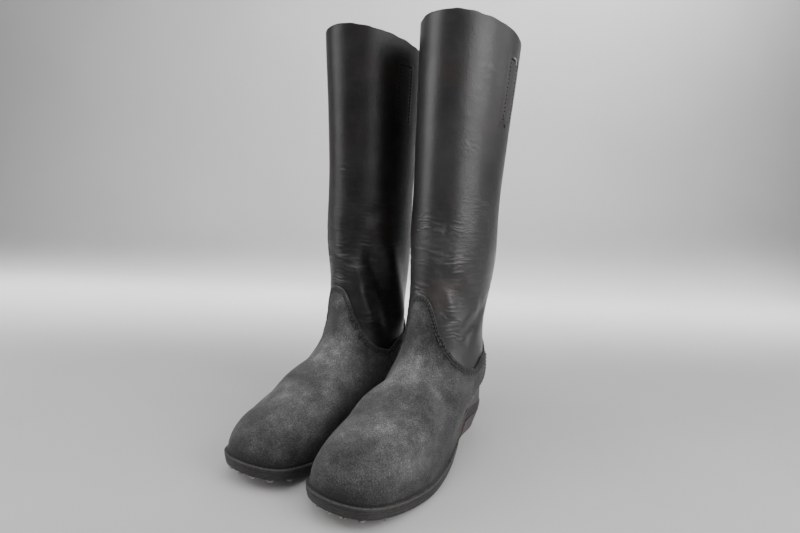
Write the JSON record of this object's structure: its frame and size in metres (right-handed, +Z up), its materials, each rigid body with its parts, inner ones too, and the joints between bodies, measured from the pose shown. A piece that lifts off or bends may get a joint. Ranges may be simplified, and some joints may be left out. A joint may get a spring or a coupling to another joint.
{
  "type": "pair of riding boots",
  "caption": "Pair of tall pull-on leather boots with a rough vamp, external heel counters, hobnailed soles and stacked heels.",
  "frame": {"origin": "on the ground, under the middle of the pair's bounding box", "axes": "+Z up, toes towards -Y, left boot at +X"},
  "size_m": [0.2312, 0.3056, 0.4901],
  "materials": {
    "smooth_leather": "semi-gloss, fine grain",
    "rough_leather": "matte nap, mottled",
    "counter_leather": "satin, worn",
    "inner_leather": "matte, unfinished",
    "lining_leather": "matte, natural tan",
    "cork_filler": "matte cork and pitch",
    "spring_steel": "satin",
    "sole_leather": "satin dressed edge",
    "heel_leather": "dressed, worn to brown at the corner",
    "heel_steel": "worn, dull",
    "hobnail_steel": "polished by wear",
    "cotton_tape": "herringbone weave"
  },
  "bodies": {
    "left_boot": {"left_shaft": "smooth_leather", "left_back_strip": "smooth_leather", "left_vamp": "rough_leather", "left_heel_counter": "counter_leather", "left_counter_stiffener": "inner_leather", "left_counter_lining": "lining_leather", "left_toe_puff": "inner_leather", "left_insole": "lining_leather", "left_filler": "cork_filler", "left_shank": "spring_steel", "left_welt": "sole_leather", "left_midsole": "sole_leather", "left_outsole": "sole_leather", "left_heel_lift_1": "heel_leather", "left_heel_lift_2": "heel_leather", "left_heel_lift_3": "heel_leather", "left_heel_top_piece": "heel_leather", "left_heel_iron": "heel_steel", "left_heel_nails": "heel_steel", "left_hobnails": "hobnail_steel", "left_outer_strap_tab": "cotton_tape", "left_inner_strap_tab": "cotton_tape"},
    "left_outer_strap_loop": {"left_outer_strap_loop": "cotton_tape"},
    "left_inner_strap_loop": {"left_inner_strap_loop": "cotton_tape"},
    "right_boot": {"right_shaft": "smooth_leather", "right_back_strip": "smooth_leather", "right_vamp": "rough_leather", "right_heel_counter": "counter_leather", "right_counter_stiffener": "inner_leather", "right_counter_lining": "lining_leather", "right_toe_puff": "inner_leather", "right_insole": "lining_leather", "right_filler": "cork_filler", "right_shank": "spring_steel", "right_welt": "sole_leather", "right_midsole": "sole_leather", "right_outsole": "sole_leather", "right_heel_lift_1": "heel_leather", "right_heel_lift_2": "heel_leather", "right_heel_lift_3": "heel_leather", "right_heel_top_piece": "heel_leather", "right_heel_iron": "heel_steel", "right_heel_nails": "heel_steel", "right_hobnails": "hobnail_steel", "right_outer_strap_tab": "cotton_tape", "right_inner_strap_tab": "cotton_tape"},
    "right_outer_strap_loop": {"right_outer_strap_loop": "cotton_tape"},
    "right_inner_strap_loop": {"right_inner_strap_loop": "cotton_tape"}
  },
  "joints": [
    {"name": "right_boot_slide", "type": "slide", "parent": "left_boot", "child": "right_boot", "axis": [-1, 0, 0], "range_m": [0, 0.25]},
    {"name": "left_outer_strap_loop_swing", "type": "hinge", "parent": "left_boot", "child": "left_outer_strap_loop", "pos_m": [0.1073, 0.08264, 0.45645], "axis": [0, 1, 0], "range_deg": [0, 150]},
    {"name": "left_inner_strap_loop_swing", "type": "hinge", "parent": "left_boot", "child": "left_inner_strap_loop", "pos_m": [0.01925, 0.06924, 0.45607], "axis": [0, -1, 0], "range_deg": [0, 150]},
    {"name": "right_outer_strap_loop_swing", "type": "hinge", "parent": "right_boot", "child": "right_outer_strap_loop", "pos_m": [-0.1073, 0.07764, 0.45645], "axis": [0, -1, 0], "range_deg": [0, 150]},
    {"name": "right_inner_strap_loop_swing", "type": "hinge", "parent": "right_boot", "child": "right_inner_strap_loop", "pos_m": [-0.01925, 0.06424, 0.45607], "axis": [0, 1, 0], "range_deg": [0, 150]}
  ]
}
